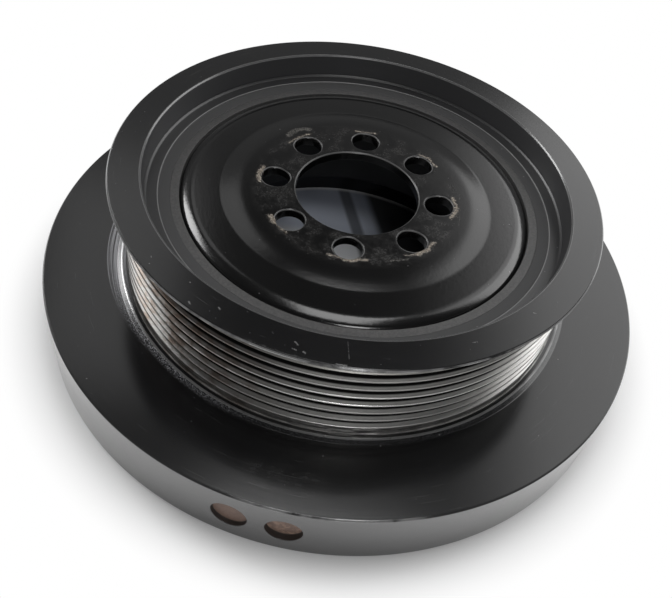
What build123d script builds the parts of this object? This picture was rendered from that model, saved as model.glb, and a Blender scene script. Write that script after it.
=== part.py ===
from build123d import *
import os
from math import radians, tan

# Harmonic balancer of an engine's crankshaft, with the drive pulley for its ribbed belt.
# It is three pieces: a pressed steel hub, a rubber ring and a heavy outer ring that holds
# both the belt track and the inertia disc.
# Origin: on the crank axis, on the back face of the hub, the face that seats on the crank.
# +Z runs along the axis to the front of the engine, and the part lies on its back face.
# Every height below is measured from that seat, and every radius from the axis.

os.makedirs("parts", exist_ok=True)

# Hub: a dished disc of thick sheet, with a skirt that carries the rubber.
hub_sheet = 3.0
pilot_radius = 19.25
pilot_chamfer = 0.4
bolt_count = 8
bolt_circle_radius = 25.75
bolt_hole_radius = 4.4
bolt_hole_chamfer = 0.4
seat_radius = 36.5
dish_radius = 42.0
dish_drop = 0.8
skirt_radius = 54.3
shoulder_width = 2.95
crown_bend = 7.0
shoulder_slope = 25.0
shoulder_bend = 1.9
inner_bend = 1.0
skirt_end_height = -34.0
sheet_edge_round = 0.6

# Rubber ring: pressed between the skirt and the outer ring.
rubber_thickness = 2.9
rubber_end_height = -32.5
rubber_lip = 0.2
rubber_lip_depth = 1.8

# Outer ring, front side: the flange, and the recess inside it.
flange_radius = 74.7
flange_height = 10.5
flange_rim = 0.7
flange_edge_chamfer = 0.5
recess_top_radius = 65.0
recess_top_chamfer = 0.4
recess_foot_radius = 64.6
recess_foot_height = 2.4
recess_foot_round = 0.6
step_radius = 60.7
step_drop = 0.4
step_chamfer = 0.25
web_slope_drop = 0.45

# Belt track: standard ribbed-belt grooves, open at forty degrees.
groove_count = 7
groove_pitch = 3.56
groove_half_angle = 20.0
crest_radius = 71.05
crest_width = 0.5
root_width = 0.75
first_crest_depth = 6.45

# Inertia disc behind the track.
ledge_radius = 72.8
ledge_height = -23.4
ledge_step = 0.7
ledge_foot = 1.5
disc_radius = 96.65
disc_end_height = -45.2
disc_edge_chamfer = 0.4
mouth_chamfer = 1.0

# Balance drillings: two shallow flat-bottomed holes in the edge of the disc. Each is
# drilled only as deep as that balancing run called for.
balance_radius = 5.2
balance_drillings = {"left": (-101.5, 1.4), "right": (-92.45, 1.9)}

# Heights and radii that follow from the sizes above.
ring_bore_radius = skirt_radius + rubber_thickness
disc_face_height = ledge_height - ledge_step
disc_middle_height = (disc_face_height + disc_end_height) / 2
dish_height = hub_sheet - dish_drop
crown_radius = skirt_radius - shoulder_width
shoulder_height = dish_height - shoulder_width * tan(radians(shoulder_slope))
web_height = recess_foot_height - step_drop
web_inner_height = web_height - web_slope_drop
rubber_front_height = web_inner_height
first_crest_height = flange_height - first_crest_depth


def turned(points):
    """A solid turned from a closed half-section of (radius, height) points."""
    outline = Polyline(*[(radius, height) for radius, height in points], close=True)
    section = make_face(Plane.XZ * outline)
    return revolve(section, Axis.Z)


def hub_section():
    """Half-section of the hub sheet. The front falls at a slope to the skirt's bend."""
    front = [
        (pilot_radius, hub_sheet),
        (seat_radius, hub_sheet),
        (dish_radius, dish_height),
        (crown_radius, dish_height),
        (skirt_radius, shoulder_height),
        (skirt_radius, skirt_end_height),
    ]
    back = [
        (skirt_radius - hub_sheet, skirt_end_height),
        (skirt_radius - hub_sheet, dish_height - hub_sheet),
        (dish_radius, dish_height - hub_sheet),
        (seat_radius, 0),
        (pilot_radius, 0),
    ]
    section = make_face(Plane.XZ * Polyline(*front, *back, close=True))

    def corner(radius, height):
        return section.vertices().sort_by_distance((radius, 0, height))[0]

    section = fillet(corner(crown_radius, dish_height), crown_bend)
    section = fillet(corner(skirt_radius, shoulder_height), shoulder_bend)
    section = fillet(corner(skirt_radius - hub_sheet, dish_height - hub_sheet), inner_bend)
    section = fillet(corner(skirt_radius, skirt_end_height), sheet_edge_round)
    section = fillet(corner(skirt_radius - hub_sheet, skirt_end_height), sheet_edge_round)
    return section


def countersunk(radius, edge):
    """A cutter for a hole through the hub plate, opened at the front by its chamfer."""
    hole = turned([
        (0, -hub_sheet),
        (radius, -hub_sheet),
        (radius, hub_sheet - edge),
        (radius + 2 * edge, hub_sheet + edge),
        (0, hub_sheet + edge),
    ])
    return hole


def make_hub():
    hub = revolve(hub_section(), Axis.Z)
    hub -= countersunk(pilot_radius, pilot_chamfer)
    hub -= PolarLocations(bolt_circle_radius, bolt_count) * countersunk(
        bolt_hole_radius, bolt_hole_chamfer
    )
    return hub


def make_rubber():
    return turned([
        (skirt_radius, rubber_end_height),
        (ring_bore_radius, rubber_end_height),
        (ring_bore_radius, rubber_front_height),
        (skirt_radius + rubber_lip, rubber_front_height),
        (skirt_radius, rubber_front_height - rubber_lip_depth),
    ])


def track_points():
    """The belt track from the flange's lip to the disc: crests and open V grooves."""
    mouth = (groove_pitch - crest_width) / 2
    root_radius = crest_radius - (mouth - root_width / 2) / tan(radians(groove_half_angle))
    points = []
    for number in range(groove_count):
        middle = first_crest_height - (number + 0.5) * groove_pitch
        points.append((crest_radius, middle + mouth))
        points.append((root_radius, middle + root_width / 2))
        points.append((root_radius, middle - root_width / 2))
        points.append((crest_radius, middle - mouth))
    return points


def make_outer_ring():
    profile = [
        (ring_bore_radius, disc_end_height + mouth_chamfer),
        (ring_bore_radius, web_inner_height),
        (step_radius - step_chamfer, web_height),
        (step_radius, recess_foot_height),
        (recess_foot_radius - recess_foot_round, recess_foot_height),
        (recess_foot_radius, recess_foot_height + recess_foot_round),
        (recess_top_radius, flange_height - recess_top_chamfer),
        (recess_top_radius + recess_top_chamfer, flange_height),
        (flange_radius - flange_edge_chamfer, flange_height),
        (flange_radius, flange_height - flange_edge_chamfer),
        (flange_radius, flange_height - flange_rim),
        (crest_radius, first_crest_height),
    ]
    profile += track_points()
    profile += [
        (crest_radius, ledge_height),
        (ledge_radius, ledge_height),
        (ledge_radius + ledge_foot, disc_face_height),
        (disc_radius - disc_edge_chamfer, disc_face_height),
        (disc_radius, disc_face_height - disc_edge_chamfer),
        (disc_radius, disc_end_height + disc_edge_chamfer),
        (disc_radius - disc_edge_chamfer, disc_end_height),
        (ring_bore_radius + mouth_chamfer, disc_end_height),
    ]
    ring = turned(profile)
    for angle, depth in balance_drillings.values():
        drill = Cylinder(balance_radius, 2 * depth, rotation=(0, 90, 0))
        ring -= Rot(Z=angle) * Pos(disc_radius, 0, disc_middle_height) * drill
    return ring


export_step(make_hub(), "parts/hub.step")
export_step(make_rubber(), "parts/rubber_ring.step")
export_step(make_outer_ring(), "parts/outer_ring.step")
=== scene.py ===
# %% [markdown]
# # A harmonic balancer, dressed over its fixed frame
# The frame is the packed model: every piece already has its real size and place. This
# lesson builds finer surfaces over the same shapes, gives each finish its wear, and lights
# the part on a pale table. All lengths are worked out in millimetres and written to the
# meshes in metres, which is what Blender uses.

# %% Load the frame
import math

import bpy
import numpy as np
from mathutils import Matrix, Quaternion, Vector


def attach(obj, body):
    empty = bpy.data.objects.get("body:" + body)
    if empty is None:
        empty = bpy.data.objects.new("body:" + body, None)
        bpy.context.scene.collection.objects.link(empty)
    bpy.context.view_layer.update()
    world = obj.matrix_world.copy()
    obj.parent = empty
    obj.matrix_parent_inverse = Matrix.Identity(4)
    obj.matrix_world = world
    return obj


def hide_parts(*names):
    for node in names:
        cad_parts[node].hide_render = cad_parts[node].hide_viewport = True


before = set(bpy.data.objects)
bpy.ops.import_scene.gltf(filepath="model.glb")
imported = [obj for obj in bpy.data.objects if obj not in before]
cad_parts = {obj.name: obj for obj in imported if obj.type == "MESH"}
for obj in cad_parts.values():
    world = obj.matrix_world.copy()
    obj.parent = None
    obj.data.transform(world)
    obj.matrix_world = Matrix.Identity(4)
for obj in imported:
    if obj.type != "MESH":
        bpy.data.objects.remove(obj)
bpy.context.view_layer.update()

print("frame nodes:", sorted(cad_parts))

# %% [markdown]
# ## Turned sections
# Every piece here came off a lathe or a round die, so its shape is one half-section carried
# round the axis. A real edge is never sharp: it catches light because it has a small
# radius. A Bevel modifier could add that, but on a turned shape it is cleaner to round the
# corners of the section before it is carried round, because each corner then has the
# radius that we choose.

# %% Round the corners of a half-section
MM = 0.001
STEPS_ROUND = 480


def rounded(corners, step=0.45):
    """Half-section with its corners rounded.
    Each corner is (radius, height, bend). The arc of a corner touches both of its edges at
    the distance bend / tan(half the corner's angle), and its centre lies on the bisector
    at bend / sin(half the angle). From one point of an arc to the next, its direction
    turns by no more than the step, in radians."""
    place = np.array([corner[:2] for corner in corners], float)
    bends = np.array([corner[2] for corner in corners], float)
    out = []
    for before, here, after, bend in zip(np.roll(place, 1, 0), place, np.roll(place, -1, 0), bends):
        if bend == 0:
            out.append(here[None])
            continue
        a = (before - here) / np.linalg.norm(before - here)
        b = (after - here) / np.linalg.norm(after - here)
        half = math.acos(np.clip(a @ b, -1, 1)) / 2
        centre = here + (a + b) / np.linalg.norm(a + b) * bend / math.sin(half)
        start = here + a * bend / math.tan(half) - centre
        end = here + b * bend / math.tan(half) - centre
        turn = math.pi - 2 * half
        count = max(3, int(math.ceil(turn / step)) + 1)
        share = np.linspace(0, 1, count)[:, None]
        arc = (np.sin((1 - share) * turn) * start + np.sin(share * turn) * end) / math.sin(turn)
        out.append(centre + arc)
    return np.concatenate(out)


square = [(0, 0, 1.0), (4, 0, 1.0), (4, 4, 1.0), (0, 4, 1.0)]
print("a square has 4 points, and with rounded corners", len(rounded(square)))

# %% [markdown]
# ## Carrying a section round, with windows for the holes
# A hole across a turned surface could be cut with a Boolean, but that leaves long thin
# triangles that shade badly. Here the grid leaves a window open instead, and rings of
# vertices lead from the window's square edge in to the round edge of the hole. Every ring
# has the same number of vertices, so the mesh stays closed.

# %% Vertices and faces of a turned piece
def carried_round(section):
    """Point (angle, k) = section point k turned by the angle about the axis."""
    angle = np.arange(STEPS_ROUND) * 2 * math.pi / STEPS_ROUND
    r, z = section[:, 0], section[:, 1]
    x = np.cos(angle)[:, None] * r
    y = np.sin(angle)[:, None] * r
    return np.stack([x, y, np.broadcast_to(z, x.shape)], 2).reshape(-1, 3)


def ring_faces(count, windows=()):
    """Four-sided faces between neighbours of the closed grid, without those in a window.
    A window is (first column, last column, first row, last row)."""
    i, k = np.meshgrid(np.arange(STEPS_ROUND), np.arange(count), indexing="ij")
    keep = np.ones(i.shape, bool)
    for left, right, low, high in windows:
        inside_columns = (i - left) % STEPS_ROUND < (right - left)
        keep &= ~(inside_columns & (k >= low) & (k < high))
    i, k = i[keep], k[keep]
    j, m = (i + 1) % STEPS_ROUND, (k + 1) % count
    return np.stack([i * count + k, j * count + k, j * count + m, i * count + m], 1)


def window_edge(count, window):
    """Vertex numbers round a window: along the low row, up, back along the high row, down."""
    left, right, low, high = window
    columns = np.arange(left, right + 1)
    rows = np.arange(low, high + 1)
    loop = [(c, low) for c in columns[:-1]] + [(right, k) for k in rows[:-1]]
    loop += [(c, high) for c in columns[:0:-1]] + [(left, k) for k in rows[:0:-1]]
    loop = np.array(loop)
    return (loop[:, 0] % STEPS_ROUND) * count + loop[:, 1]


def strips(first, second):
    """Four-sided faces between two loops of equal count."""
    return np.stack([first, np.roll(first, -1), np.roll(second, -1), second], 1)


print("columns round the axis:", STEPS_ROUND, "of", 360 / STEPS_ROUND, "degrees")

# %% [markdown]
# The rings of a hole are worked out in two flat axes of its own. The square edge is pulled
# in to the circle in even shares, and then the circle goes down the wall of the hole.

# %% Rings that lead into a hole
def square_to_circle(edge, centre, radius, shares=(0.35, 0.7, 1.0)):
    """Rings between a square edge and a circle.
    ring(share) = edge * (1 - share) + circle * share, in the hole's flat axes, where each
    circle point lies in the direction of its edge point."""
    away = edge - centre
    circle = centre + away / np.linalg.norm(away, axis=1)[:, None] * radius
    return [edge * (1 - share) + circle * share for share in shares]


corner_points = np.array([corner[:2] for corner in square], float)
corner_rings = square_to_circle(corner_points, np.array([2.0, 2.0]), 1.0)
print("rings from a square edge to its circle:", len(corner_rings))

# %% [markdown]
# ## Writing the mesh
# Vertex normals are averaged by face area, so that the wide flat faces stay flat and only
# the narrow rounded edges turn the light. This is what the Weighted Normal modifier does,
# worked out once and stored.

# %% Mesh writer
def outward(points, faces):
    """Faces turned so that the closed surface holds a positive volume."""
    a, b, c, d = (points[faces[:, corner]] for corner in range(4))
    volume = (a * (np.cross(b, c) + np.cross(c, d))).sum()
    return faces if volume > 0 else faces[:, ::-1]


def area_normals(points, faces):
    """Normal of a vertex = sum over its faces of (diagonal x diagonal), made unit length."""
    a, b, c, d = (points[faces[:, corner]] for corner in range(4))
    face_normal = np.cross(c - a, d - b)
    total = np.zeros_like(points)
    for corner in range(4):
        np.add.at(total, faces[:, corner], face_normal)
    return total / np.maximum(np.linalg.norm(total, axis=1), 1e-20)[:, None]


def piece(name, points, faces, node):
    """A mesh object that stands for a node of the frame and rides on the whole part."""
    faces = outward(points, faces)
    mesh = bpy.data.meshes.new(name)
    mesh.from_pydata((points * MM).tolist(), [], faces.tolist())
    mesh.polygons.foreach_set("use_smooth", np.ones(len(mesh.polygons), bool))
    mesh.update()
    mesh.normals_split_custom_set_from_vertices(area_normals(points, faces).tolist())
    made = bpy.data.objects.new(name, mesh)
    bpy.context.scene.collection.objects.link(made)
    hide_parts(node)
    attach(made, "root")
    print(name, "vertices", len(points), "faces", len(faces))
    return made


print("a millimetre is written to the meshes as", MM, "m")

# %% [markdown]
# ## The outer ring
# On the real part this is one casting, turned all over: a front flange, seven V grooves for
# the belt, a short ledge, and the heavy disc that gives the damper its inertia. The belt
# track is a standard form, so the grooves come from four numbers: pitch, flank angle, width
# of the crest and width of the root. They could be cut one by one, but one section that
# holds them all gives a single closed surface.

# %% Section of the belt track
CREST_RADIUS = 71.05
CREST_WIDTH = 0.5
ROOT_WIDTH = 0.75
PITCH = 3.56
FLANK_ANGLE = 20
GROOVES = 7
FIRST_CREST = 4.05
LAST_CREST = FIRST_CREST - GROOVES * PITCH
MOUTH_BEND = 0.26
ROOT_BEND = 0.2


def track_corners():
    """Corners of the V grooves, from the flange down. The mouth is the pitch less one
    crest, and the depth is half of (mouth - root) over the tangent of the flank's angle."""
    mouth = (PITCH - CREST_WIDTH) / 2
    root = CREST_RADIUS - (mouth - ROOT_WIDTH / 2) / math.tan(math.radians(FLANK_ANGLE))
    corners = []
    for middle in FIRST_CREST - (np.arange(GROOVES) + 0.5) * PITCH:
        corners += [
            (CREST_RADIUS, middle + mouth, MOUTH_BEND),
            (root, middle + ROOT_WIDTH / 2, ROOT_BEND),
            (root, middle - ROOT_WIDTH / 2, ROOT_BEND),
            (CREST_RADIUS, middle - mouth, MOUTH_BEND),
        ]
    return corners


print("belt track:", GROOVES, "grooves,", len(track_corners()), "corners")

# %% [markdown]
# The rest of the section runs from the bore over the web and the recess to the flange, and
# from the last groove over the ledge to the disc. Where the flange's lip meets the first
# crest, the lathe left a fine bead, which belts polish. The disc's edge gets rows of its own,
# so that the windows of the drillings have a grid to stand in.

# %% Section of the whole ring
BORE = 57.2
WEB_INNER = 1.55
STEP = 60.7
RECESS_FLOOR = 2.4
RECESS_RADIUS = 65.0
FLANGE_RADIUS = 74.7
FLANGE_TOP = 10.5
BEAD = 0.28
LEDGE_RADIUS = 72.8
LEDGE_TOP = -23.4
DISC_RADIUS = 96.65
DISC_TOP = -24.1
DISC_END = -45.2
DISC_MIDDLE = (DISC_TOP + DISC_END) / 2
rim_rows = np.linspace(DISC_TOP - 1.2, DISC_END + 1.2, 15)

ring_corners = [
    (BORE, DISC_END + 1.0, 0.3),
    (BORE, WEB_INNER, 0.15),
    (STEP - 0.25, RECESS_FLOOR - 0.4, 0.1),
    (STEP, RECESS_FLOOR, 0.12),
    (RECESS_RADIUS - 1.0, RECESS_FLOOR, 0.5),
    (RECESS_RADIUS - 0.4, RECESS_FLOOR + 0.6, 0.3),
    (RECESS_RADIUS, FLANGE_TOP - 0.4, 0.15),
    (RECESS_RADIUS + 0.4, FLANGE_TOP, 0.15),
    (FLANGE_RADIUS - 0.5, FLANGE_TOP, 0.15),
    (FLANGE_RADIUS, FLANGE_TOP - 0.5, 0.1),
    (FLANGE_RADIUS, FLANGE_TOP - 0.7, 0.06),
    (CREST_RADIUS - BEAD, FIRST_CREST + BEAD, 0.06),
    (CREST_RADIUS, FIRST_CREST, 0.08),
]
ring_corners += track_corners()
ring_corners += [
    (CREST_RADIUS, LEDGE_TOP, 0.2),
    (LEDGE_RADIUS, LEDGE_TOP, 0.12),
    (LEDGE_RADIUS + 1.5, DISC_TOP, 0.8),
    (DISC_RADIUS - 0.4, DISC_TOP, 0.12),
    (DISC_RADIUS, DISC_TOP - 0.4, 0.12),
]
ring_corners += [(DISC_RADIUS, z, 0) for z in rim_rows]
ring_corners += [
    (DISC_RADIUS, DISC_END + 0.4, 0.12),
    (DISC_RADIUS - 0.4, DISC_END, 0.12),
    (BORE + 1.0, DISC_END, 0.3),
]
ring_section = rounded(ring_corners)
print("ring section points:", len(ring_section))

# %% [markdown]
# The disc's edge has two shallow drillings, made when the finished damper was balanced. Each
# has a flat floor, so the rings go down a straight wall and then in to the middle. A hole in
# a round edge has a curved mouth: each point of the mouth is lifted to the disc's surface.
# The window is counted in columns of the grid, to each side of the drilling's middle.

# %% Balance drillings
DRILL_RADIUS = 5.2
DRILL_MOUTH = DRILL_RADIUS + 0.15
DRILLINGS = [(-101.5, 1.4), (-92.45, 1.9)]
DRILL_WINDOW = 6


def drilled(points, section, angle, depth):
    """Window of one blind hole in the disc's edge, its square edge, and the hole's rings.
    In the hole's axes a point of the surface lies sqrt(radius^2 - across^2) from the axis,
    and a point of the floor lies at the disc's radius less the depth."""
    count = len(section)
    low = int(np.flatnonzero(np.isclose(section[:, 1], rim_rows[0]))[0])
    high = int(np.flatnonzero(np.isclose(section[:, 1], rim_rows[-1]))[0])
    middle = int(round(angle / 360 * STEPS_ROUND))
    window = (middle - DRILL_WINDOW, middle + DRILL_WINDOW, low, high)
    edge = window_edge(count, window)
    turn = math.radians(angle)
    out = np.array([math.cos(turn), math.sin(turn), 0])
    across = np.array([-math.sin(turn), math.cos(turn), 0])
    flat = np.stack([points[edge] @ across, points[edge][:, 2]], 1)
    centre = np.array([0, DISC_MIDDLE])
    rings = square_to_circle(flat, centre, DRILL_MOUTH)
    heights = [np.sqrt(DISC_RADIUS**2 - ring[:, 0] ** 2) for ring in rings]
    rim = rings[-1] - centre
    surface = np.sqrt(DISC_RADIUS**2 - rim[:, 0] ** 2)
    floor = np.full(len(rim), DISC_RADIUS - depth)
    for radius, height in (
        (DRILL_RADIUS + 0.04, surface - 0.05),
        (DRILL_RADIUS, surface - 0.2),
        (DRILL_RADIUS, floor + 0.2),
        (DRILL_RADIUS - 0.06, floor + 0.06),
        (DRILL_RADIUS - 0.2, floor),
        (DRILL_RADIUS * 0.6, floor),
        (DRILL_RADIUS * 0.2, floor),
    ):
        rings.append(centre + rim * radius / DRILL_MOUTH)
        heights.append(height)
    local, level = np.stack(rings), np.stack(heights)
    new = local[..., :1] * across + local[..., 1:] * np.array([0, 0, 1]) + level[..., None] * out
    return window, edge, new


def hole_faces(edge, start, rings, size):
    """Faces from the window's edge through each ring in turn."""
    loops = [edge] + [start + k * size + np.arange(size) for k in range(rings)]
    return [strips(a, b) for a, b in zip(loops[:-1], loops[1:])]


print("balance drillings (angle, depth):", DRILLINGS)

# %% [markdown]
# The grid is carried round once with both windows open. Each drilling then adds its rings,
# and a pole in the middle of its floor, where the last ring closes in pairs of edges so that
# every face keeps four sides.

# %% Build the outer ring
def make_outer_ring():
    """The whole ring as one closed surface."""
    count = len(ring_section)
    points = carried_round(ring_section)
    windows, faces = [], []
    for angle, depth in DRILLINGS:
        window, edge, new = drilled(points[: STEPS_ROUND * count], ring_section, angle, depth)
        windows.append(window)
        rings, size = new.shape[:2]
        start = len(points)
        points = np.concatenate([points, new.reshape(-1, 3), new[-1].mean(0)[None]])
        faces += hole_faces(edge, start, rings, size)
        loop = start + (rings - 1) * size + np.arange(size)
        pole = np.full(size // 2, len(points) - 1)
        faces.append(np.stack([loop[0::2], loop[1::2], np.roll(loop, -2)[0::2], pole], 1))
    faces = np.concatenate([ring_faces(count, windows)] + faces)
    return piece("outer_ring_turned", points, faces, "outer_ring")


outer_ring = make_outer_ring()

# %% [markdown]
# ## The hub
# The hub is pressed from 3 mm sheet: a flat seat for the crank bolts, a shallow slope to a
# lower ring, and a wide bend into the skirt. The same section gives both faces, so the sheet
# keeps its thickness. The eight bolt holes go right through, so each has a window in the
# front face and another in the back face.

# %% Section of the hub
SHEET = 3.0
PILOT = 19.25
SEAT_RADIUS = 36.5
DISH_RADIUS = 42.0
DISH_DROP = 0.8
CROWN_RADIUS = 51.35
SHOULDER_HEIGHT = 0.825
SKIRT = 54.3
SKIRT_END = -34.0
hole_rows = np.linspace(20.4, 31.6, 11)

hub_corners = [(PILOT, SHEET - 0.4, 0.1), (PILOT + 0.4, SHEET, 0.12)]
hub_corners += [(r, SHEET, 0) for r in hole_rows]
hub_corners += [
    (SEAT_RADIUS + 0.7, SHEET, 26.0),
    (DISH_RADIUS, SHEET - DISH_DROP, 7.0),
    (CROWN_RADIUS, SHEET - DISH_DROP, 7.0),
    (SKIRT, SHOULDER_HEIGHT, 1.9),
    (SKIRT, SKIRT_END, 0.6),
    (SKIRT - SHEET, SKIRT_END, 0.6),
    (SKIRT - SHEET, -DISH_DROP, 1.0),
    (DISH_RADIUS, -DISH_DROP, 6.0),
    (SEAT_RADIUS, 0, 8.0),
]
hub_corners += [(r, 0, 0) for r in hole_rows[::-1]]
hub_corners += [(PILOT, 0, 0.15)]
hub_section = rounded(hub_corners, 0.16)
print("hub section points:", len(hub_section))

# %% [markdown]
# A bolt hole starts at a square edge in the front face, closes in to a small chamfer, goes
# down its wall, and opens again to a square edge in the back face. The two square edges lie
# above each other, so one flat outline serves both.

# %% One bolt hole
BOLTS = 8
BOLT_CIRCLE = 25.75
BOLT_HOLE = 4.4
HOLE_WINDOW = 24
HOLE_WALL = [
    (BOLT_HOLE + 0.4, SHEET),
    (BOLT_HOLE + 0.3, SHEET - 0.04),
    (BOLT_HOLE + 0.08, SHEET - 0.28),
    (BOLT_HOLE, SHEET - 0.4),
    (BOLT_HOLE, 0.15),
    (BOLT_HOLE + 0.05, 0.05),
    (BOLT_HOLE + 0.15, 0.0),
]


def bolt_hole(flat, centre):
    """Rings of one hole through the sheet: each ring of the wall is the mouth's ring about
    the centre, scaled to the wall's radius at that height."""
    mouth, foot = HOLE_WALL[0][0], HOLE_WALL[-1][0]
    rings = square_to_circle(flat, centre, mouth)
    levels = [SHEET] * len(rings)
    away = rings[-1] - centre
    for radius, height in HOLE_WALL[1:]:
        rings.append(centre + away * radius / mouth)
        levels.append(height)
    back_rings = square_to_circle(flat, centre, foot)
    rings += [back_rings[1], back_rings[0]]
    levels += [0.0, 0.0]
    return np.stack([np.insert(ring, 2, level, axis=1) for ring, level in zip(rings, levels)])


def hole_window(middle, height):
    """Window in the face at this height, over the rows that are kept for the holes."""
    level = np.isclose(hub_section[:, 1], height)
    rows = [np.flatnonzero(level & np.isclose(hub_section[:, 0], r))[0] for r in hole_rows[[0, -1]]]
    return middle - HOLE_WINDOW, middle + HOLE_WINDOW, int(min(rows)), int(max(rows))


print("window of the first hole:", hole_window(0, SHEET))

# %% [markdown]
# The front and the back of the sheet are the same grid, seen from its two sides. The last
# ring of a hole is sewn to the back window by nearest points, because that window is
# numbered the other way round.

# %% Build the hub
def make_hub():
    """The pressed sheet as one closed surface, with its eight holes."""
    count = len(hub_section)
    points = carried_round(hub_section)
    windows, faces = [], []
    for bolt in range(BOLTS):
        middle = bolt * STEPS_ROUND // BOLTS
        turn = 2 * math.pi * bolt / BOLTS
        centre = BOLT_CIRCLE * np.array([math.cos(turn), math.sin(turn)])
        front_window, back_window = hole_window(middle, SHEET), hole_window(middle, 0)
        windows += [front_window, back_window]
        front, back = window_edge(count, front_window), window_edge(count, back_window)
        flat = points[front][:, :2]
        new = bolt_hole(flat, centre)
        rings, size = new.shape[:2]
        start = len(points)
        points = np.concatenate([points, new.reshape(-1, 3)])
        faces += hole_faces(front, start, rings, size)
        last = start + (rings - 1) * size + np.arange(size)
        apart = np.linalg.norm(points[back][None, :, :2] - flat[:, None], axis=2)
        faces.append(strips(last, back[np.argmin(apart, 1)]))
    faces = np.concatenate([ring_faces(count, windows)] + faces)
    return piece("hub_pressed", points, faces, "hub")


hub = make_hub()

# %% [markdown]
# ## The rubber ring
# The rubber is pressed between the skirt and the outer ring. Only its front edge shows,
# which leaves a black gap beside the skirt, and from behind its square end.

# %% Build the rubber ring
RUBBER_END = -32.5
rubber_section = rounded([
    (SKIRT, RUBBER_END, 0.4),
    (BORE, RUBBER_END, 0.4),
    (BORE, WEB_INNER - 0.03, 0.12),
    (SKIRT + 0.2, WEB_INNER, 0.1),
    (SKIRT, WEB_INNER - 1.8, 0.4),
])
rubber_ring = piece(
    "rubber_ring_pressed",
    carried_round(rubber_section),
    ring_faces(len(rubber_section)),
    "rubber_ring",
)

# %% [markdown]
# ## Writing shader maths as sums
# A material is a graph of small nodes. Written out one by one they hide the idea, so a thin
# wrapper lets a socket stand in an ordinary sum: `1 - mask` adds one Math node. Any other
# node comes from one method that takes its type, its settings and its sockets.

# %% A socket that can be summed
class Wire:
    """One socket's number, usable in sums."""

    def __init__(self, nodes, socket):
        self.nodes = nodes
        self.socket = socket

    def maths(self, operation, *values):
        return self.nodes.wire("ShaderNodeMath", {"operation": operation}, dict(enumerate(values)))

    def __add__(self, other):
        return self.maths("ADD", self, other)

    def __radd__(self, other):
        return self.maths("ADD", other, self)

    def __sub__(self, other):
        return self.maths("SUBTRACT", self, other)

    def __rsub__(self, other):
        return self.maths("SUBTRACT", other, self)

    def __mul__(self, other):
        return self.maths("MULTIPLY", self, other)

    def __rmul__(self, other):
        return self.maths("MULTIPLY", other, self)

    def __truediv__(self, other):
        return self.maths("DIVIDE", self, other)

    def least(self, other):
        return self.maths("MINIMUM", self, other)

    def most(self, other):
        return self.maths("MAXIMUM", self, other)

    def size(self):
        return self.maths("ABSOLUTE", self)

    def root(self):
        return self.maths("SQRT", self)

    def rise(self, low, high):
        """0 below low, 1 above high, and an even S-curve between; falls if low > high."""
        ends = {"From Min": min(low, high), "From Max": max(low, high)}
        ends.update({"To Min": float(low > high), "To Max": float(low < high)})
        smooth = {"interpolation_type": "SMOOTHSTEP"}
        return self.nodes.wire("ShaderNodeMapRange", smooth, {"Value": self, **ends})

    def near(self, middle, half, soft):
        """1 within half of the middle, falling to 0 over the soft width outside it."""
        return (self - middle).size().rise(half + soft, half)


print("a socket knows:", ", ".join(name for name in vars(Wire) if name[0] != "_"))

# %% [markdown]
# Every node of every material, of the table and of the room comes from the same method, so
# the settings are always set before the sockets that they may add or take away.

# %% The node method
class Nodes:
    """A node tree and the one way to add to it."""

    def __init__(self, owner):
        owner.use_nodes = True
        self.tree = owner.node_tree
        self.tree.nodes.clear()

    def node(self, kind, settings=None, sockets=None):
        """Adds a node: settings first, then each socket's value or link."""
        made = self.tree.nodes.new(kind)
        for key, value in (settings or {}).items():
            setattr(made, key, value)
        for key, value in (sockets or {}).items():
            if isinstance(value, Wire):
                self.tree.links.new(made.inputs[key], value.socket)
            else:
                made.inputs[key].default_value = value
        return made

    def wire(self, kind, settings=None, sockets=None, output=0):
        """Adds a node and hands on one of its outputs."""
        return Wire(self, self.node(kind, settings, sockets).outputs[output])


def grey(value, warm=1.0, cool=1.0):
    """A grey colour, whose red and blue may be warmed or cooled a little."""
    return (value * warm, value, value * cool, 1.0)


print("black of the coat is about", grey(0.004))

# %% [markdown]
# ## What every finish shares
# Each finish starts from the part's own coordinates in millimetres: the height, the radius,
# and the direction as a cosine and a sine. A turned surface is the same all the way round,
# so most masks need only the radius and the height. Unwrapping the pieces would also work,
# but then every length would have to be found again on the flat map.

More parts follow.
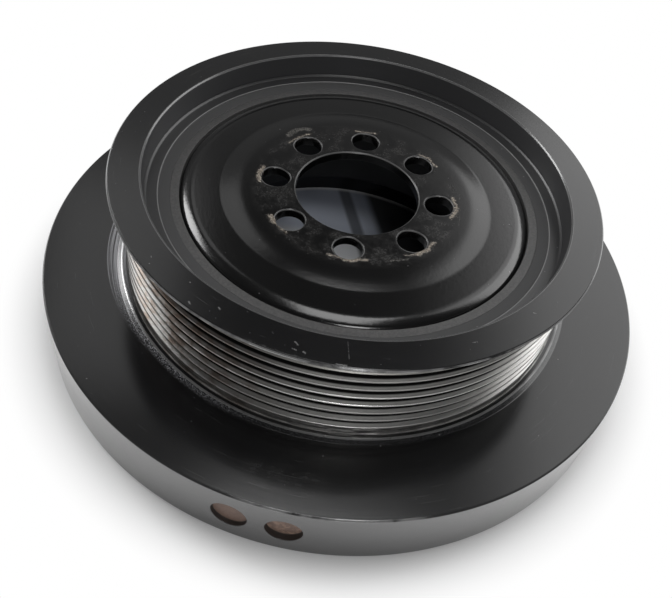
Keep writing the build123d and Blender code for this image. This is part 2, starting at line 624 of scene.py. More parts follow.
# %% A finish in the part's own millimetres
class Finish(Nodes):
    """A material with the coordinates that the masks need."""

    def __init__(self, name):
        self.material = bpy.data.materials.new(name)
        super().__init__(self.material)
        place = self.wire("ShaderNodeTexCoord", output="Object")
        self.place = self.vector("SCALE", first=place, scale=1 / MM)
        parts = self.node("ShaderNodeSeparateXYZ", {}, {0: self.place})
        self.x, self.y, self.z = (Wire(self, parts.outputs[axis]) for axis in "XYZ")
        self.r = (self.x * self.x + self.y * self.y).root()
        self.across = self.x / self.r
        self.along = self.y / self.r

    def noise(self, scale, detail=3.0, roughness=0.5):
        """Cloudy pattern of 0 to 1; a scale of 1 has features about a millimetre wide."""
        sockets = {"Vector": self.place, "Scale": scale, "Detail": detail, "Roughness": roughness}
        return self.wire("ShaderNodeTexNoise", {"noise_dimensions": "3D"}, sockets)

    def turned(self, fine, along, detail=3.0, roughness=0.5):
        """Pattern drawn out round the axis, as a tool leaves it: fine lines a millimetre across
        the section, and along changes in one turn. It has no seam, because the direction
        enters as its cosine and sine."""
        axes = {"X": self.r * fine, "Y": self.z * fine, "Z": self.across * along}
        sockets = {"Vector": self.wire("ShaderNodeCombineXYZ", {}, axes), "W": self.along * along}
        sockets.update({"Scale": 1.0, "Detail": detail, "Roughness": roughness})
        return self.wire("ShaderNodeTexNoise", {"noise_dimensions": "4D"}, sockets)

    def mix(self, share, first, second):
        """Colour between two colours."""
        return self.wire("ShaderNodeMix", {"data_type": "RGBA"}, {0: share, 6: first, 7: second}, 2)

    def layered(self, colour, layers):
        """Lays each (share, colour) over what is already there, the first one lowest."""
        for share, layer in layers:
            colour = self.mix(share, colour, layer)
        return colour

    def vector(self, operation, output=0, **sockets):
        """One Vector Math node: first, second and scale are its inputs."""
        names = {"first": 0, "second": 1, "scale": "Scale"}
        sockets = {names[key]: value for key, value in sockets.items()}
        return self.wire("ShaderNodeVectorMath", {"operation": operation}, sockets, output)

    def done(self, bump_height, bump_mm, **sockets):
        """Joins the surface: names use underscores for the shader's own socket names."""
        sockets = {key.replace("_", " "): value for key, value in sockets.items()}
        bump = {"Strength": 1.0, "Distance": bump_mm * MM, "Height": bump_height}
        sockets["Normal"] = self.wire("ShaderNodeBump", {}, bump)
        surface = self.wire("ShaderNodeBsdfPrincipled", {}, sockets)
        self.node("ShaderNodeOutputMaterial", {}, {"Surface": surface})
        print(self.material.name, "nodes:", len(self.tree.nodes))
        return self.material


print("a finish knows:", ", ".join(name for name in vars(Finish) if name[0] != "_"))

# %% [markdown]
# ## Marks of use
# Dust and knocks are what makes a plain coat look real. Specks come from a cell pattern.
# A mark with a known place is a short stroke with round ends, and the shader can work out
# the distance to it, so no picture has to be painted. A little noise under the strokes
# bends them, as no real rub mark is straight.

# %% A finish with marks
class WornFinish(Finish):
    """A finish that can also carry specks and short strokes."""

    def __init__(self, name):
        super().__init__(name)
        self.ground = self.wire("ShaderNodeCombineXYZ", {}, {"X": self.x, "Y": self.y})

    def specks(self, scale, size, share, seed):
        """Small round specks: cells of a Voronoi pattern, of which only a share has one."""
        moved = self.vector("ADD", first=self.place, second=(seed, seed * 2.3, seed * 0.7))
        sockets = {"Vector": moved, "Scale": scale}
        cells = self.node("ShaderNodeTexVoronoi", {"feature": "F1"}, sockets)
        chance = self.wire("ShaderNodeSeparateXYZ", {}, {0: Wire(self, cells.outputs["Color"])})
        speck = Wire(self, cells.outputs["Distance"]).rise(size, size * 0.5)
        return speck * chance.rise(1 - share, 1 - share * 0.9)

    def shake(self, scale, millimetres):
        """Moves the ground under the strokes by a little noise, so that none is straight."""
        sockets = {"Vector": self.place, "Scale": scale, "Detail": 3.0}
        noise = self.wire("ShaderNodeTexNoise", {}, sockets, "Color")
        moved = self.vector("SUBTRACT", first=noise, second=(0.5, 0.5, 0.5))
        flatly = (2 * millimetres, 2 * millimetres, 0)
        moved = self.vector("MULTIPLY", first=moved, second=flatly)
        self.ground = self.vector("ADD", first=self.ground, second=moved)

    def strokes(self, table):
        """How far a point is inside the nearest short stroke, in millimetres.
        A stroke is (azimuth, radius, azimuth, radius, half width). With a and d the stroke's
        start and run, the nearest share along it is t = (p - a) . d / d . d, held to 0..1,
        and the value is the half width less the distance from p - a to t d."""
        best = None
        for azimuth_a, radius_a, azimuth_b, radius_b, half in table:
            ends = np.radians([azimuth_a, azimuth_b])
            a, b = np.stack([np.cos(ends), np.sin(ends)], 1) * [[radius_a], [radius_b]]
            run = np.append(b - a, 0)
            away = self.vector("SUBTRACT", first=self.ground, second=tuple(np.append(a, 0).tolist()))
            unit = tuple((run / (run @ run)).tolist())
            share = self.vector("DOT_PRODUCT", "Value", first=away, second=unit)
            share = share.least(1.0).most(0.0)
            reach = self.vector("SCALE", first=tuple(run.tolist()), scale=share)
            inside = half - self.vector("DISTANCE", "Value", first=away, second=reach)
            best = inside if best is None else best.most(inside)
        return best


print("a worn finish also knows:", ", ".join(name for name in vars(WornFinish) if name[0] != "_"))

# %% [markdown]
# ## The coat and the bare steel of the outer ring
# The ring is dipped in a thin satin black coat, and then the belt track is turned bright.
# One material does both, because the two meet on one casting: masks worked out from radius
# and height say where the coat ends. A second material with its own faces would need the
# mesh cut on the same lines, and its edge could not be worn.

# %% Tool marks and where the steel is bare
ring = WornFinish("ring_coat_and_steel")
fine = ring.turned(2.2, 2.0, 4.0, 0.6)
coarse = ring.turned(0.5, 3.0, 3.0)
streak = ring.turned(0.25, 14.0, 4.0, 0.65)
ring_cloud = ring.noise(0.035)
leftward = 0 - ring.across
track = ring.z.rise(FIRST_CREST + 0.7, FIRST_CREST + 0.4)
track = track * ring.z.rise(LEDGE_TOP - 0.1, LEDGE_TOP + 0.05)
track = track * ring.r.rise(RECESS_RADIUS + 1.0, RECESS_RADIUS + 2.0)
track = track * ring.r.rise(CREST_RADIUS + 0.55, CREST_RADIUS + 0.25)
print("nodes for the tool marks and the track:", len(ring.tree.nodes))

# %% [markdown]
# Deep in each groove the steel is painted black: this is painted shade, partly grime, and it
# reaches further out at the sides. The crests are polished, some more than others. The last
# land is mottled, and one side has begun to rust. The black is also drawn as metal, with
# hardly any colour, because a plastic black would still shine at a low angle.

# %% Painted groove shade, grime, polish and rust
sideways = ring.across.size().rise(0.75, 1.0)
# Painted shade: the steel turns black deep in the grooves, further out at the sides; the last land's mottle
# joins it as grime.
groove_shade = ring.r - ring.z * 0.018 - sideways * 0.25
groove_shade = groove_shade.rise(CREST_RADIUS - 0.55, CREST_RADIUS - 1.1)
crest = ring.r.rise(CREST_RADIUS - 0.25, CREST_RADIUS - 0.1)
crest = crest * ring.z.rise(LAST_CREST + 0.27, LAST_CREST + 0.57)
on_first = ring.z.near(FIRST_CREST, 0.8, 0.2) * 0.8
on_fourth = ring.z.near(FIRST_CREST - 3 * PITCH, 0.6, 0.2) * 0.6
on_fifth = ring.z.near(FIRST_CREST - 4 * PITCH, 0.6, 0.2)
polish = (0.12 + on_first + on_fourth + on_fifth) * crest
land = ring.z.near(LAST_CREST - 1.33, 1.1, 0.3)
mottle = ring.turned(1.2, 12.0, 4.0, 0.65).rise(0.40, 0.58)
groove_shade_and_grime = (groove_shade + land * (0.10 + mottle * 0.6)).least(1.0)
rust_side = (ring.across * -0.66 - ring.along * 0.75).rise(0.82, 0.99)
rust_side = rust_side * leftward.rise(0.90, 0.74)
bead = ring.z.near(FIRST_CREST + 0.15, 0.35, 0.1) * ring.r.rise(CREST_RADIUS - 0.5, CREST_RADIUS - 0.4)
# Painted shade under the flange's lip, on the front left.
painted_shade_under_lip = leftward.rise(0.0, 0.35) * leftward.rise(0.90, 0.72) * ring.z.rise(-11.0, 0.0)
print("nodes with the grime and the polish:", len(ring.tree.nodes))

# %% [markdown]
# Turned steel is not one grey: each pass of the tool leaves a slightly different one. The
# layers go on from the bare metal over the polish, the painted shade on the left side and
# under the lip, and the rust, to the painted shade and grime deep in the grooves.

# %% Steel of the belt track
steel = ring.layered(ring.mix(fine, grey(0.40, 1.02, 0.97), grey(0.58, 1.01, 0.98)), [
    (streak.rise(0.35, 0.75) * 0.5, grey(0.66, 1.01, 0.97)),
    ((crest - polish).most(0.0) * 0.6, grey(0.22, 1.02, 0.97)),
    (polish * 0.85, grey(0.80, 1.0, 0.97)),
    (bead * 0.9, grey(0.34, 1.02, 0.94)),
    # painted shade: the track's steel is darker on the left side
    (leftward.rise(0.64, 0.90) * 0.94, grey(0.062, 1.02, 0.97)),
    (painted_shade_under_lip * 0.6, grey(0.16, 1.02, 0.98)),
    (rust_side * streak.rise(0.38, 0.66) * 0.85, (0.17, 0.120, 0.090, 1.0)),
    (groove_shade_and_grime * 0.98, grey(0.003)),
])
print("nodes with the steel:", len(ring.tree.nodes))

# %% [markdown]
# Beside the ledge the coat is rubbed to a frosted band. It is widest on one side, where its
# outer edge reaches furthest out and the rubbing shows as brushed lines, and it breaks up
# into grains as it narrows. Long thin hairlines run round the whole coat.

# %% Frosted band on the disc
far = leftward.rise(0.80, 0.98)
beside_ledge = ring.r.rise(LEDGE_RADIUS + 0.1, LEDGE_RADIUS + 0.3)
beside_track = ring.r.rise(CREST_RADIUS + 0.15, CREST_RADIUS + 0.45)
on_disc = ring.z.near(DISC_TOP, 0.9, 0.2) * ring.along.rise(0.3, 0.1)
on_disc = on_disc * beside_ledge.most(far * beside_track)
reach = (69.2 - ring.across * 8.7).most(75.0) - ring.r
frost_grain = ring.noise(3.2, 3.0, 0.7)
frost_side = leftward.rise(0.14, 0.62)
band = reach.rise(-0.2, 1.7)
brushed = ring.turned(5.0, 1.2, 4.0, 0.65).rise(0.38, 0.62)
grains = frost_grain.rise(0.49, 0.39) * (1 - far) + brushed * (0.08 + 0.92 * far)
outer_line = reach.near(0.25, 0.1, 0.12) * far * 0.4
frost = (band * grains + outer_line) * on_disc
frost = (frost * (0.15 + 0.85 * frost_side)).least(1.0)
hairlines = ring.turned(2.6, 5.0, 3.0, 0.6).rise(0.60, 0.74) * ring.noise(0.06).rise(0.42, 0.58)
print("nodes with the frost:", len(ring.tree.nodes))

# %% [markdown]
# Handling leaves a few knocks on the flange and dust everywhere. The knocks are a table of
# strokes, roughened by the same grains as the frosted band. At the front of the disc there
# is one broad, faint scuff, where the part was slid over something.

# %% Knocks, dust and the scuff
KNOCKS = [
    (-97.6, 69.9, -96.9, 70.6, 0.22), (-97.6, 72.2, -96.8, 72.3, 0.16), (-95.4, 72.2, -95.0, 72.5, 0.25),
    (-87.0, 66.6, -86.5, 71.8, 0.07), (-115.2, 69.4, -114.6, 69.7, 0.2), (-120.6, 72.8, -120.2, 73.1, 0.25),
    (-135.5, 70.6, -135.1, 70.8, 0.18), (-124.5, 67.9, -124.3, 68.1, 0.14), (-60.0, 69.0, -58.8, 69.2, 0.1),
    (-42.0, 68.4, -41.6, 69.0, 0.12), (-102.6, 69.4, -102.4, 69.5, 0.12), (-88.9, 73.9, -86.9, 73.9, 0.22),
]
flange_face = ring.z.rise(FLANGE_TOP - 0.3, FLANGE_TOP - 0.1)
knocks = (ring.strokes(KNOCKS) + (frost_grain - 0.5) * 0.9).rise(-0.05, 0.15) * flange_face
dust = (ring.specks(0.25, 0.065, 0.30, 1.0) * 0.8).most(ring.specks(0.55, 0.08, 0.14, 4.0) * 0.5)
dust = dust * ring.z.rise(DISC_TOP - 0.4, DISC_TOP - 0.2)
scuff = ring.strokes([(-99.5, 87.4, -89.2, 87.9, 6.5)]).rise(0.0, 6.4)
scuff = scuff * ring.z.near(DISC_TOP, 0.3, 0.1)
scuff = scuff * (0.25 + 0.75 * brushed) * ring.noise(0.3, 4.0, 0.7).rise(0.35, 0.6)
print("nodes with the knocks and the dust:", len(ring.tree.nodes))

# %% [markdown]
# Edges that knock against things wear through to a bright line, which is broken where the
# coat held on. On the flange's edge at the left and right, and on the disc's edge at the
# front, the bright line is also a painted highlight. An edge is found by its radius and its
# height together. The two machined steps of the recess and the ledge's edge get thin painted
# highlight lines, drawn as bare metal.

# %% Worn edges and painted edge highlights
wear = ring.noise(0.12, 3.0, 0.6)
flange_edge = ring.r.near(FLANGE_RADIUS - 0.05, 0.2, 0.1) * ring.z.near(FLANGE_TOP - 0.5, 0.3, 0.15)
# At the left and right the flange's edge is bright without a break: a painted highlight.
flange_edge = flange_edge * wear.rise(0.35, 0.6).most(ring.across.size().rise(0.55, 0.95))
# The recess and step edges get thin painted highlight lines.
recess_edge = ring.z.near(FLANGE_TOP - 0.2, 0.35, 0.1) * ring.r.near(RECESS_RADIUS + 0.2, 0.35, 0.1)
step_edge = ring.z.near(RECESS_FLOOR, 0.12, 0.06) * ring.r.near(STEP + 0.05, 0.12, 0.08)
# The disc's edge is bright only at the front: a painted highlight, broken by wear.
disc_front = (ring.along * -0.995 + ring.across * 0.08).rise(0.955, 0.985)
disc_edge = ring.z.near(DISC_TOP - 0.2, 0.22, 0.1) * ring.r.rise(DISC_RADIUS - 0.65, DISC_RADIUS - 0.35)
disc_edge = disc_edge * disc_front * wear.rise(0.35, 0.55)
ledge_edge = ring.z.near(LEDGE_TOP - 0.1, 0.25, 0.08) * ring.r.near(LEDGE_RADIUS - 0.05, 0.3, 0.1)
ledge_edge = ledge_edge * (0.6 + 0.4 * wear.rise(0.35, 0.6))
# The ledge's painted highlight line is weaker on the right side.
ledge_share = 0.75 - 0.35 * ring.across.rise(0.3, 0.9)
worn_and_highlit_edges = flange_edge * 0.8 + disc_edge * 0.7 + recess_edge * 0.25 + step_edge * 0.4
worn_and_highlit_edges = (worn_and_highlit_edges + ledge_edge * ledge_share).least(1.0)
print("nodes with the worn edges:", len(ring.tree.nodes))

# %% [markdown]
# At the front the flange's lip is scuffed rather than bright: a ragged grey fringe on the
# face runs into a thin line on the edge.

# %% Scuffed lip
at_front = (0 - ring.along).rise(0.90, 0.98)
fringe = ring.r.near(FLANGE_RADIUS - 0.5, 0.35, 0.15) * ring.noise(1.1, 4.0, 0.7).rise(0.46, 0.6)
fringe = fringe * ring.across.rise(0.03, -0.03)
lip_scuff = (fringe * 0.4 + ring.r.near(FLANGE_RADIUS - 0.1, 0.22, 0.08)).least(1.0)
lip_scuff = lip_scuff * ring.z.rise(FLANGE_TOP - 0.8, FLANGE_TOP - 0.6) * at_front
print("nodes with the scuffed lip:", len(ring.tree.nodes))

# %% [markdown]
# Each balance drilling has a dark wall and a floor with flash rust. A floor is found by its
# distance from the drilling's own centre line.

# %% Rust in the drillings
floors = []
for azimuth, _ in DRILLINGS:
    direction = math.radians(azimuth)
    side = ring.y * math.cos(direction) - ring.x * math.sin(direction)
    level = ring.z - DISC_MIDDLE
    from_middle = (side * side + level * level).root()
    floors.append(from_middle.rise(DRILL_RADIUS - 0.06, DRILL_RADIUS - 0.25))
drill_floor = floors[0].most(floors[1])
in_drill = ring.r.rise(DISC_RADIUS - 0.05, DISC_RADIUS - 0.15)
in_drill = in_drill * ring.r.rise(DISC_RADIUS - 4.65, DISC_RADIUS - 3.65)
in_drill = in_drill * ring.z.near(DISC_MIDDLE, DRILL_RADIUS + 0.1, 0.1)
crust = ring.noise(0.8, 5.0, 0.7)
rust = ring.mix(crust, (0.080, 0.052, 0.042, 1.0), (0.27, 0.175, 0.135, 1.0))
tan_side = ring.x.rise(-12.0, -8.0) * 0.6 * ring.noise(0.6, 4.0, 0.7).rise(0.45, 0.62)
rust = ring.mix(tan_side, rust, (0.42, 0.29, 0.22, 1.0))
drill = ring.mix(drill_floor, (0.026, 0.019, 0.016, 1.0), rust)
print("nodes with the drillings:", len(ring.tree.nodes))

# %% [markdown]
# The coat itself is nearly black. In the recess and beside the rubber it is paler and dull
# from overspray and moulding flash, which lies in fine rings. The marks then go on in
# layers, the faintest first.

# %% Colour of the coat
recess = ring.z.rise(FLANGE_TOP - 0.2, FLANGE_TOP - 0.4) * ring.z.rise(0.5, 1.0)
recess = recess * ring.r.rise(RECESS_RADIUS + 0.6, RECESS_RADIUS + 0.2)
web = ring.z.near(1.9, 0.45, 0.15) * ring.r.rise(STEP + 0.2, STEP - 0.2)
recess_wall = ring.z.rise(RECESS_FLOOR + 0.5, RECESS_FLOOR + 1.2)
recess_grey = ring.mix(recess_wall, grey(0.020, 1.0, 1.05), grey(0.046, 1.0, 1.05))
frost_grey = ring.mix(far, grey(0.33, 1.0, 1.06), grey(0.70, 1.0, 1.05))
coat = ring.layered(ring.mix(ring_cloud, grey(0.0038, 1.0, 1.05), grey(0.0062, 1.0, 1.10)), [
    (recess, recess_grey),
    (web * (0.5 + 0.5 * fine), grey(0.025, 1.0, 1.03)),
    (frost * 0.85, frost_grey),
    ((hairlines + scuff * 0.7).least(1.0) * 0.7, grey(0.045)),
    (lip_scuff * 0.6, grey(0.075)),
    (dust.most(knocks * 0.75), grey(0.18)),
    (worn_and_highlit_edges, grey(0.45)),
])
print("nodes with the coat:", len(ring.tree.nodes))

# %% [markdown]
# The disc's rim shines more than its faces, so it gets a second gloss, which the shader
# calls a clear coat. The relief is only nine thousandths of a millimetre high: tool marks,
# a slight orange peel, and the crust in the drillings.

# %% Outer ring finish
back = ring.z.rise(DISC_END + 0.2, DISC_END + 0.05)
back = back.most(ring.z.rise(0.5, -1.0) * ring.r.rise(BORE + 1.2, BORE + 0.2))
rim = ring.r.rise(DISC_RADIUS - 0.45, DISC_RADIUS - 0.15)
coat_rough = 0.155 + 0.03 * ring_cloud + 0.02 * coarse
coat_rough = coat_rough + (recess + web) * 0.2 + frost * 0.25 + back * 0.1
steel_rough = 0.30 + 0.10 * fine + groove_shade_and_grime * 0.4 + crest * 0.15 - polish * 0.2
ring_rough = (coat_rough + (steel_rough - coat_rough) * track + in_drill * 0.4).least(1.0)
bare = (track + worn_and_highlit_edges).least(1.0) * (1 - in_drill)
tooling = fine * 0.6 + coarse * 0.3 + ring.noise(0.9) * 0.4 + streak * 0.15
ring_relief = tooling * (1 - track * 0.75) + rim * fine * 0.8 + in_drill * crust * 6.0
ring_finish = ring.done(
    ring_relief,
    0.009,
    Base_Color=ring.mix(in_drill, ring.mix(track, coat, steel), drill),
    Metallic=bare,
    Roughness=ring_rough,
    IOR=1.58,
    Coat_Weight=rim * (1 - in_drill) * 0.85,
    Coat_Roughness=0.15,
)
outer_ring.data.materials.append(ring_finish)

# %% [markdown]
# ## The hub's coat
# The hub has a glossier dip coat. The bolt flanges rubbed it through in short bright strokes
# just outside each hole, and each one is different, so they are written down as a table.
# Each rub has a brown stain round it, and the fainter ones are only a dusting of grit.

# %% Rub marks outside the bolt holes
RUBBED = [
    (143.8, 30.3, 135.5, 31.1, 0.22), (135.5, 31.1, 127.3, 30.9, 0.28), (97.2, 31.0, 84.8, 31.5, 0.24),
    (52.4, 30.3, 47.4, 31.4, 0.28), (47.4, 31.4, 38.3, 30.7, 0.36), (8.4, 30.6, 0.4, 31.5, 0.50),
    (0.4, 31.5, -9.7, 30.2, 0.40), (3.0, 31.2, -3.0, 30.6, 0.30), (-34.6, 30.0, -41.5, 30.9, 0.45),
    (-41.5, 30.9, -49.0, 30.9, 0.70), (-49.0, 30.9, -56.0, 29.9, 0.28), (-79.2, 30.1, -84.0, 30.3, 0.42),
    (-84.0, 30.3, -91.1, 31.2, 0.50), (-91.1, 31.2, -100.2, 30.1, 0.30), (-127.2, 30.4, -137.6, 30.5, 0.26),
    (-137.6, 30.5, -142.8, 30.2, 0.80), (173.0, 30.9, -177.5, 31.0, 0.62),
    (-177.5, 31.0, -173.2, 30.4, 0.40),
]
FAINT = [
    (139.0, 33.6, 131.5, 34.6, 1.25), (131.5, 34.6, 125.3, 33.4, 1.10), (41.0, 33.0, 34.1, 33.7, 0.16),
    (-56.4, 31.6, -66.0, 30.7, 0.42), (-145.0, 31.4, -137.0, 31.5, 0.16), (118.0, 33.6, 101.0, 33.7, 0.10),
    (12.0, 33.2, -14.0, 33.0, 0.18), (-138.7, 50.0, -135.5, 51.6, 0.12), (-128.9, 33.4, -128.7, 33.6, 0.2),
    (-110.8, 31.4, -109.8, 33.2, 0.10), (-41.5, 39.1, -41.3, 39.2, 0.14), (-22.0, 31.0, -30.0, 34.0, 0.12),
]
pressed = WornFinish("hub_coat_worn")
hub_front = pressed.z.rise(1.4, 1.8)
pressed.shake(0.45, 0.9)
ragged = pressed.noise(1.7, 5.0, 0.8)
grit = pressed.noise(3.2, 3.0, 0.7).rise(0.42, 0.60)
torn = (ragged - 0.5) * 2.8 - 0.02
rub_depth = pressed.strokes(RUBBED)
rubbed = (rub_depth + torn).rise(0.0, 0.22) * (0.55 + 0.45 * grit) * hub_front
stain = (rub_depth + torn * 1.2).rise(-0.5, 0.0) * hub_front
faint = (pressed.strokes(FAINT) + torn * 0.7).rise(-0.05, 0.5) * (0.15 + 0.85 * grit) * hub_front
print("nodes with the rub marks:", len(pressed.tree.nodes))

# %% [markdown]
# Fingers and tools left pale smears between the holes and the bore. The smears are fine
# fibres, patchy and thin. They come from a pattern that changes quickly across and slowly
# along, kept only where a broader pattern allows it.

# %% Smears and specks
fibres = pressed.turned(2.2, 34.0, 4.0, 0.7).rise(0.36, 0.76)
patches = pressed.noise(0.20, 4.0, 0.65)
seat = pressed.r.near(BOLT_CIRCLE + 0.25, 5.0, 3.0) * hub_front
smear = (fibres * patches.rise(0.36, 0.62) + patches.rise(0.42, 0.70) * 0.3).least(1.0) * seat
scratch = pressed.turned(2.6, 7.0, 3.0, 0.6).rise(0.68, 0.76) * hub_front
scratch = scratch * pressed.noise(0.09).rise(0.48, 0.6)
specks = (pressed.specks(0.30, 0.070, 0.24, 5.0) * 0.75).most(pressed.specks(0.60, 0.09, 0.12, 2.0) * 0.45)
specks = specks * pressed.z.rise(-0.5, 0.5)
print("nodes with the smears:", len(pressed.tree.nodes))

# %% [markdown]
# The chamfers of the bore and of the bolt holes are rubbed thin by the bolts. Eight masks
# would say where the holes are, but the holes repeat: the angle is wrapped to one eighth of
# a turn, so that a single hole stands for all of them.

# %% Rubbed chamfers
around = pressed.y.maths("ARCTAN2", pressed.y, pressed.x)
from_hole = around.maths("WRAP", around, math.pi / BOLTS, -math.pi / BOLTS) * BOLT_CIRCLE
outwards = pressed.r - BOLT_CIRCLE
hole_rim = (outwards * outwards + from_hole * from_hole).root().near(BOLT_HOLE + 0.25, 0.12, 0.1)
hole_edge = (hole_rim + pressed.r.near(PILOT + 0.25, 0.12, 0.1)).least(1.0)
hole_edge = hole_edge * pressed.z.near(SHEET - 0.2, 0.25, 0.05)
print("nodes with the rubbed chamfers:", len(pressed.tree.nodes))

# %% [markdown]
# The hub's layers go on as the ring's did. On the far side of the bend to the skirt the coat
# is painted paler, and inside the skirt the coat is dull.

# %% Hub finish
hub_cloud = pressed.noise(0.05)
# The coat is painted paler on the far side of the bend to the skirt.
paler_far_bend = pressed.r.rise(SKIRT - 3.5, SKIRT - 1.9) * pressed.z.rise(-1.5, -0.5)
paler_far_bend = paler_far_bend * pressed.along.rise(-0.1, 0.6)
tan = pressed.mix(ragged.rise(0.46, 0.66), (0.17, 0.138, 0.108, 1.0), (0.56, 0.51, 0.43, 1.0))
hub_colour = pressed.layered(pressed.mix(hub_cloud, grey(0.0022), grey(0.0038, 1.0, 1.05)), [
    (smear * 0.55, grey(0.026, 1.05, 0.95)),
    (scratch * 0.5, grey(0.060)),
    (specks, grey(0.18)),
    (hole_edge * 0.8, grey(0.12)),
    (faint * 0.75, grey(0.13, 1.05, 0.92)),
    (stain * 0.6, (0.045, 0.036, 0.029, 1.0)),
    (rubbed, tan),
    (paler_far_bend * 0.9, grey(0.044)),
])
behind = pressed.z.rise(-0.2, -0.8) * pressed.r.rise(SKIRT - 0.5, SKIRT - 1.1)
hub_rough = 0.15 + 0.03 * hub_cloud + (smear + stain * 0.5) * 0.2
hub_rough = hub_rough + (rubbed + hole_edge) * 0.25 + behind * 0.4
orange_peel = pressed.noise(0.8) * 0.5 + pressed.noise(1.7) * 0.6
hub_relief = orange_peel + patches * 0.4 - rubbed * 1.0 - faint * 0.3
hub_finish = pressed.done(
    hub_relief,
    0.020,
    Base_Color=hub_colour,
    Metallic=(rubbed + hole_edge) * 0.3,
    Roughness=hub_rough,
    IOR=1.58,
)
hub.data.materials.append(hub_finish)

# %% [markdown]
# ## Rubber
# Moulded rubber is dark and dull. The mould leaves fine rings, age a faint bloom, and lint
# clings to it as to no other surface of the part.

# %% Rubber finish
moulded = Finish("rubber_moulded")
bloom = moulded.noise(0.25, 4.0, 0.6)
rings = moulded.turned(2.0, 2.0)
lint = moulded.noise(1.6, 4.0, 0.75).rise(0.40, 0.62)
rubber_colour = moulded.mix(bloom * 0.4 + rings * 0.6, grey(0.030, 1.0, 1.01), grey(0.052, 1.0, 1.01))
rubber_colour = moulded.mix(lint * 0.6, rubber_colour, grey(0.080, 1.04, 0.98))
rubber_relief = rings * 0.6 + moulded.noise(2.0) * 0.4
rubber_rough = 0.38 + 0.15 * bloom
rubber_finish = moulded.done(rubber_relief, 0.02, Base_Color=rubber_colour, Roughness=rubber_rough)
rubber_ring.data.materials.append(rubber_finish)

# %% [markdown]
# ## Table, light and camera
# The table is a wide pale plane, and it is also the background. The part stands on it as it
# would in a catalogue. A curved backdrop would do the same from one side only, but a plane
# that is simply white from every side serves all views.

# %% Table top
TABLE_HALF = 3.0
table_corners = TABLE_HALF * np.array([(-1, -1, 0), (1, -1, 0), (1, 1, 0), (-1, 1, 0)])
table_mesh = bpy.data.meshes.new("table_top")
table_mesh.from_pydata((table_corners + (0, 0, DISC_END * MM)).tolist(), [], [(0, 1, 2, 3)])
table = bpy.data.objects.new("table_top", table_mesh)
bpy.context.scene.collection.objects.link(table)
print("table top is", 2 * TABLE_HALF, "m wide")

# %% [markdown]
# Under and round the part the paper is plain and dull, so that it keeps the shadow. Further
# out it is exactly white to the camera and in reflections, but it throws no light of its
# own. Through the bore and the bolt holes one sees what the part stands on, and there light
# and shadow are painted into the paper's colour: a bluish pool of painted light, dark at the
# back and pale at the front, crossed by two painted shadow bars.

# %% Paper, with painted light and shadow under the bore
paper = Finish("table_paint")
ray = paper.node("ShaderNodeLightPath")
sight = [Wire(paper, ray.outputs[f"Is {kind} Ray"]) for kind in ("Camera", "Glossy", "Transmission")]
white_share = (sight[0] + sight[1] + sight[2]).least(1.0) * paper.r.rise(96.0, 114.0)
# Painted light: a bluish pool under the bore, darker towards the back.
painted_light_under_bore = paper.mix(paper.y.rise(50.0, 36.0), (0.24, 0.26, 0.31, 1.0), (0.66, 0.71, 0.82, 1.0))
painted_light_under_bore = paper.mix(paper.y.rise(33.0, 27.0), painted_light_under_bore, (0.95, 0.97, 1.0, 1.0))
# Painted shadow: two dark bars across the pool, shadows of the hub between its holes.
slant = paper.x + (paper.y - 36.0) * 0.35
painted_shadow_bars = (slant.near(2.8, 1.4, 2.0) * 0.7).most(slant.rise(9.5, 14.0) * 0.95)
painted_light_under_bore = paper.mix(painted_shadow_bars, painted_light_under_bore, grey(0.03))
paper_colour = paper.mix(paper.r.rise(56.0, 60.0), painted_light_under_bore, grey(0.93))
dull = paper.wire("ShaderNodeBsdfDiffuse", {}, {"Color": paper_colour})
glow = paper.wire("ShaderNodeEmission", {}, {"Color": grey(1.0)})
paper_surface = paper.wire("ShaderNodeMixShader", {}, {0: white_share, 1: dull, 2: glow})
paper.node("ShaderNodeOutputMaterial", {}, {"Surface": paper_surface})
table_mesh.materials.append(paper.material)
print("nodes of the paper:", len(paper.tree.nodes))

# %% [markdown]
# Black gloss shows what stands round it more than its own colour, so the lamps are the
# finish's other half. A large soft window stands at the right. It is built from three
# panels that overlap, each a little wider and weaker, so that its edge fades as that of a
# real window does, and from a fourth that fills its lower corner. A small panel overhead
# lights the flange's far side, a window and a dim wall at the left light the recess, and a
# strip in front draws the thin line on the shoulder.

# %% Lamps
def panel(name, azimuth, elevation, distance, width, height, power, roll=0):
    """A soft panel that faces the part, seen from the part at an azimuth and an elevation,
    and leaning over by roll degrees. Distance and size are in metres, power in watts."""
    a, e = math.radians(azimuth), math.radians(elevation)
    at = distance * np.array([math.cos(a) * math.cos(e), math.sin(a) * math.cos(e), math.sin(e)])
    data = bpy.data.lights.new(name, "AREA")
    data.shape = "RECTANGLE"
    data.size, data.size_y, data.energy = width, height, power
    lamp = bpy.data.objects.new(name, data)
    lamp.location = Vector(at)
    facing = Vector(-at).to_track_quat("-Z", "Y") @ Quaternion((0, 0, 1), math.radians(roll))
    lamp.rotation_euler = facing.to_euler()
    bpy.context.scene.collection.objects.link(lamp)
    return lamp


panel("right_core", 43.2, 35.0, 1.3, 0.93, 1.02, 2.92, 48)
panel("right_edge", 45.0, 36.2, 1.3, 1.02, 1.02, 1.78, 48)
panel("right_fade", 47.2, 37.4, 1.3, 1.08, 1.02, 0.96, 48)
panel("right_window", 38.4, 31.8, 1.3, 0.60, 0.86, 2.2, 39)
panel("panel_above", 84, 82, 1.2, 0.42, 0.60, 3.6)
panel("window_left", 150, 33, 1.3, 0.42, 0.55, 6.5)
panel("wall_left", 117.5, 46.5, 1.5, 0.31, 0.47, 0.38, -20)
panel("strip_front", -76, 48, 1.3, 0.30, 0.50, 3.6)
print("lamps:", sorted(lamp.name for lamp in bpy.data.lights))

# %% [markdown]
# The room is dim, so that black faces look black. It is paler near the table than
# overhead, and only the camera sees it white.

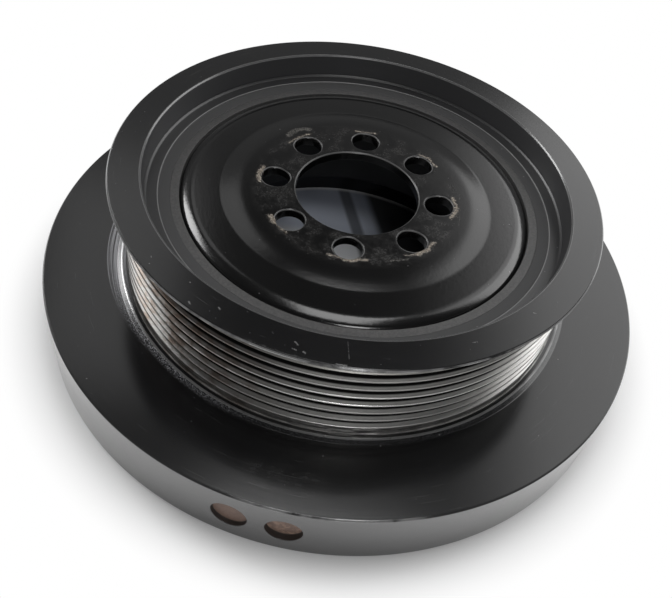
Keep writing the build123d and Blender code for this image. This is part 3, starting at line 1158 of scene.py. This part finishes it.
# %% The room
world = bpy.data.worlds.new("room")
room = Nodes(world)
heading = room.wire("ShaderNodeTexCoord", output="Generated")
upward = room.wire("ShaderNodeSeparateXYZ", {}, {0: heading}, "Z")
strength = 0.07 + 0.23 * upward.rise(0.68, 0.55)
dim = room.wire("ShaderNodeBackground", {}, {"Strength": strength})
white = room.wire("ShaderNodeBackground", {}, {"Color": grey(1.0)})
from_camera = room.wire("ShaderNodeLightPath", output="Is Camera Ray")
room_surface = room.wire("ShaderNodeMixShader", {}, {0: from_camera, 1: dim, 2: white})
room.node("ShaderNodeOutputWorld", {}, {"Surface": room_surface})
bpy.context.scene.world = world
print("room nodes:", len(room.tree.nodes))

# %% [markdown]
# The camera's axes start with a look at the part from the front and above. They are then
# turned by three small angles: yaw to the side, pitch up or down, and roll about the line
# of sight. At the end the whole camera goes a little way round the part. Writing the axes
# out keeps the order of the turns plain, which three angles on the object would hide.

# %% Camera
def camera():
    """The camera looks from the front side, 38 degrees up, and is rolled by 10.6 degrees.
    To turn the axes a and b by an angle: a' = cos * a + sin * b, and b' = cos * b - sin * a."""
    elevation, distance, aim_height = math.radians(38.02), 237.5, 11.1
    yaw, pitch, roll = math.radians(-0.09), math.radians(-9.62), math.radians(10.64)
    way_round = math.radians(-0.9)
    lens_pixels, frame_pixels, sensor = 772.8, 672, 36

    def turned_pair(a, b, angle):
        return math.cos(angle) * a + math.sin(angle) * b, math.cos(angle) * b - math.sin(angle) * a

    at = np.array([0, -distance * math.cos(elevation), distance * math.sin(elevation)])
    forward = -at / distance
    right = np.array([1.0, 0, 0])
    up = np.cross(right, forward)
    forward, right = turned_pair(forward, right, yaw)
    forward, up = turned_pair(forward, up, pitch)
    right, up = turned_pair(right, up, roll)
    cosine, sine = math.cos(way_round), math.sin(way_round)
    spin = np.array([[cosine, -sine, 0], [sine, cosine, 0], [0, 0, 1]])
    axes = spin @ np.stack([right, up, -forward], 1)
    at = spin @ at + np.array([0, 0, aim_height])
    data = bpy.data.cameras.new("camera")
    data.sensor_width = sensor
    data.lens = lens_pixels / frame_pixels * sensor
    data.clip_start = 0.01
    data.dof.use_dof = False
    made = bpy.data.objects.new("camera", data)
    matrix = np.eye(4)
    matrix[:3, :3], matrix[:3, 3] = axes, at * MM
    made.matrix_world = Matrix(matrix.tolist())
    bpy.context.scene.collection.objects.link(made)
    bpy.context.scene.camera = made
    return at * MM


print("camera at", camera().round(4).tolist(), "m")
bpy.context.scene.view_settings.view_transform = "Standard"

# %% [markdown]
# ## The frame's size
# The dressed model has to keep the size of the frame.
